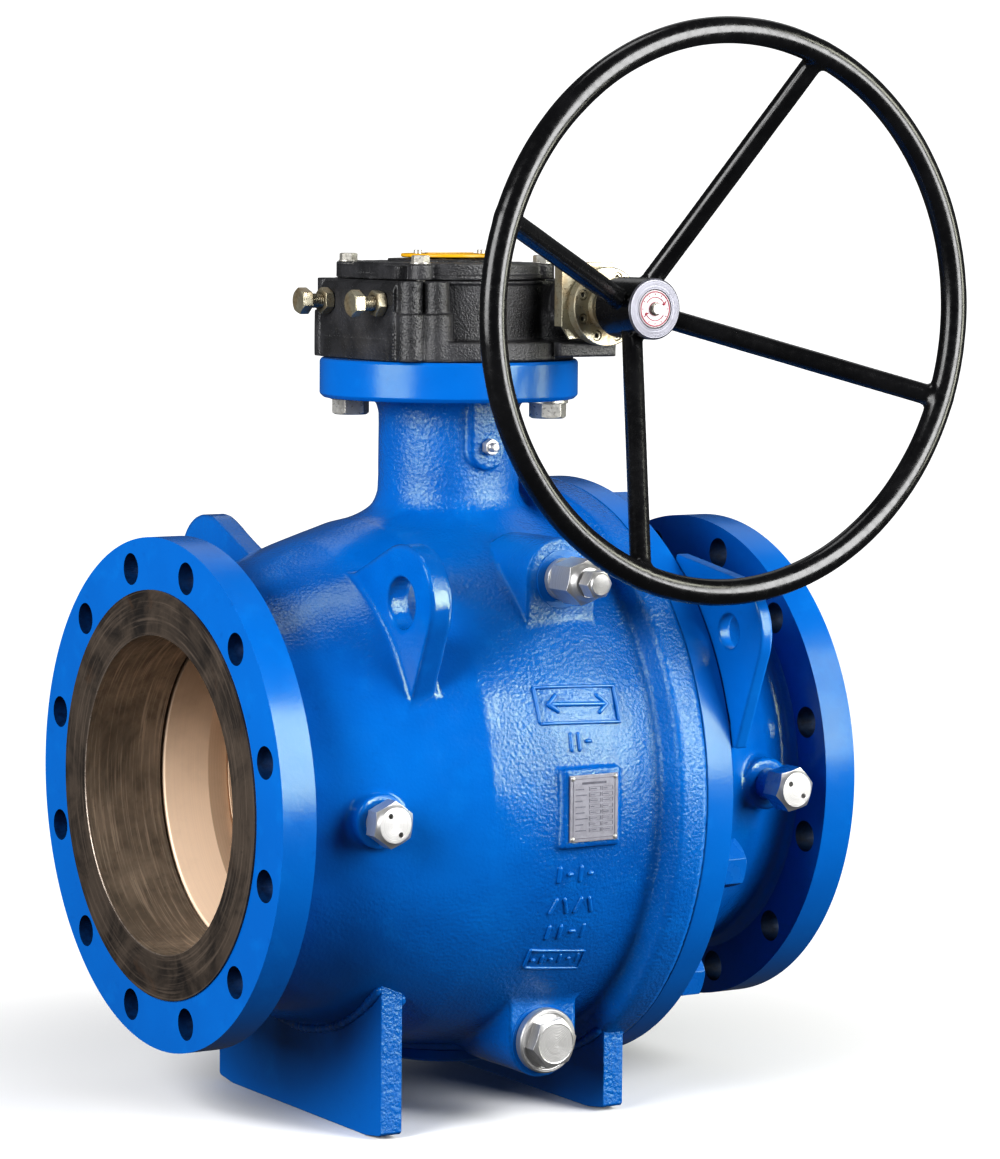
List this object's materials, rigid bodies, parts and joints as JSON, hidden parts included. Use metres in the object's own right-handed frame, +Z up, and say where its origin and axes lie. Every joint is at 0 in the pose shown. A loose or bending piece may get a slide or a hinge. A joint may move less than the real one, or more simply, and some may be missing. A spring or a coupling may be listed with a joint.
{
  "type": "flanged ball valve",
  "caption": "Flanged side-entry trunnion ball valve standing on two plate feet, with a worm-gear quarter-turn operator and a dished handwheel.",
  "frame": {"origin": "middle of the underside of the inlet-side support foot; z = 0 is the floor. The ball centre, where the flow axis meets the stem axis, is at (0.12915, 0, 0.2647) m", "axes": "+X along the flow axis, from the body end flange to the closure end flange; +Z up the stem axis to the gear operator; the handwheel is on the -Y side. At rest the valve is fully open"},
  "size_m": [0.5711, 0.5651, 0.8734],
  "materials": {
    "blue_enamel": "glossy blue enamel over sand-cast steel, pebbled on the castings and smooth on turned faces",
    "machined_steel": "turned steel with a light oil film and fine scratches",
    "ball_plating": "plated and polished ball, warm grey, with light handling scratches",
    "seat_polymer": "off-white filled polymer",
    "seal_rubber": "matt black elastomer",
    "spring_steel": "tempered spring steel",
    "stainless_fitting": "turned stainless steel with faint tool rings",
    "bronze": "machined bronze",
    "plate_steel": "thin bright brushed plate",
    "black_cast_iron": "fine-textured semi-gloss black paint on cast iron",
    "yellow_zinc": "pale yellow passivated zinc plate",
    "bright_zinc": "bright zinc plate, lightly scuffed",
    "indicator_yellow": "glossy yellow cap",
    "gloss_black": "glossy black paint on bent steel bar"
  },
  "bodies": {
    "valve_body": {"bleed_fitting": "stainless_fitting", "body_casting": "blue_enamel", "closure_bolt_1": "blue_enamel", "closure_bolt_2": "blue_enamel", "closure_bolt_3": "blue_enamel", "closure_bolt_4": "blue_enamel", "closure_casting": "blue_enamel", "closure_lug_front": "blue_enamel", "closure_lug_rear": "blue_enamel", "closure_seal": "seal_rubber", "cover_bolt_1": "yellow_zinc", "cover_bolt_2": "yellow_zinc", "cover_bolt_3": "yellow_zinc", "cover_bolt_4": "yellow_zinc", "drain_plug": "stainless_fitting", "gearbox_cover": "black_cast_iron", "gearbox_housing": "black_cast_iron", "gland_bush": "stainless_fitting", "input_dust_plate": "yellow_zinc", "input_flange": "yellow_zinc", "lower_trunnion": "stainless_fitting", "nameplate": "plate_steel", "operator_mount_bolt_1": "bright_zinc", "operator_mount_bolt_2": "bright_zinc", "operator_mount_bolt_4": "bright_zinc", "operator_mount_stud": "bright_zinc", "sealant_fitting_body": "stainless_fitting", "sealant_fitting_closure": "stainless_fitting", "seat_spring_inlet": "spring_steel", "seat_spring_outlet": "spring_steel", "stem_bearing": "bronze", "stem_grease_fitting": "stainless_fitting", "stem_packing": "seat_polymer", "stem_thrust_washer": "seat_polymer", "stop_lock_nut_1": "yellow_zinc", "stop_lock_nut_2": "yellow_zinc", "stop_screw_1": "yellow_zinc", "stop_screw_2": "yellow_zinc", "support_foot_inlet": "blue_enamel", "support_foot_outlet": "blue_enamel", "trunnion_bearing": "bronze", "trunnion_cover": "blue_enamel", "worm_bearing_inner": "bronze", "worm_bearing_outer": "bronze"},
    "ball_stem": {"ball": "ball_plating", "stem": "stainless_fitting", "worm_wheel": "bronze", "worm_wheel_key": "machined_steel", "position_indicator": "indicator_yellow"},
    "handwheel_shaft": {"worm_shaft": "machined_steel", "handwheel": "gloss_black", "handwheel_cap": "plate_steel", "handwheel_screw": "stainless_fitting"},
    "seat_inlet": {"seat_ring_inlet": "machined_steel", "seat_insert_inlet": "seat_polymer", "seat_seal_inlet": "seal_rubber"},
    "seat_outlet": {"seat_ring_outlet": "machined_steel", "seat_insert_outlet": "seat_polymer", "seat_seal_outlet": "seal_rubber"},
    "bleed_screw": {"bleed_plug": "stainless_fitting"}
  },
  "joints": [
    {"name": "ball_quarter_turn", "type": "hinge", "parent": "valve_body", "child": "ball_stem", "pos_m": [0.12915, 0, 0.2647], "axis": [0, 0, -1], "range_deg": [0, 90]},
    {"name": "handwheel_turn", "type": "hinge", "parent": "valve_body", "child": "handwheel_shaft", "pos_m": [0.20915, -0.2, 0.6487], "axis": [0, 1, 0], "range_deg": [0, 4680]},
    {"name": "seat_inlet_float", "type": "slide", "parent": "valve_body", "child": "seat_inlet", "axis": [-1, 0, 0], "range_m": [0, 0.001]},
    {"name": "seat_outlet_float", "type": "slide", "parent": "valve_body", "child": "seat_outlet", "axis": [1, 0, 0], "range_m": [0, 0.001]},
    {"name": "bleed_turn", "type": "hinge", "parent": "valve_body", "child": "bleed_screw", "pos_m": [0.12915, -0.22, 0.4387], "axis": [0, -1, 0], "range_deg": [0, 360]}
  ],
  "couplings": [
    {"joint": "handwheel_turn", "follows": "ball_quarter_turn", "ratio": 52}
  ]
}
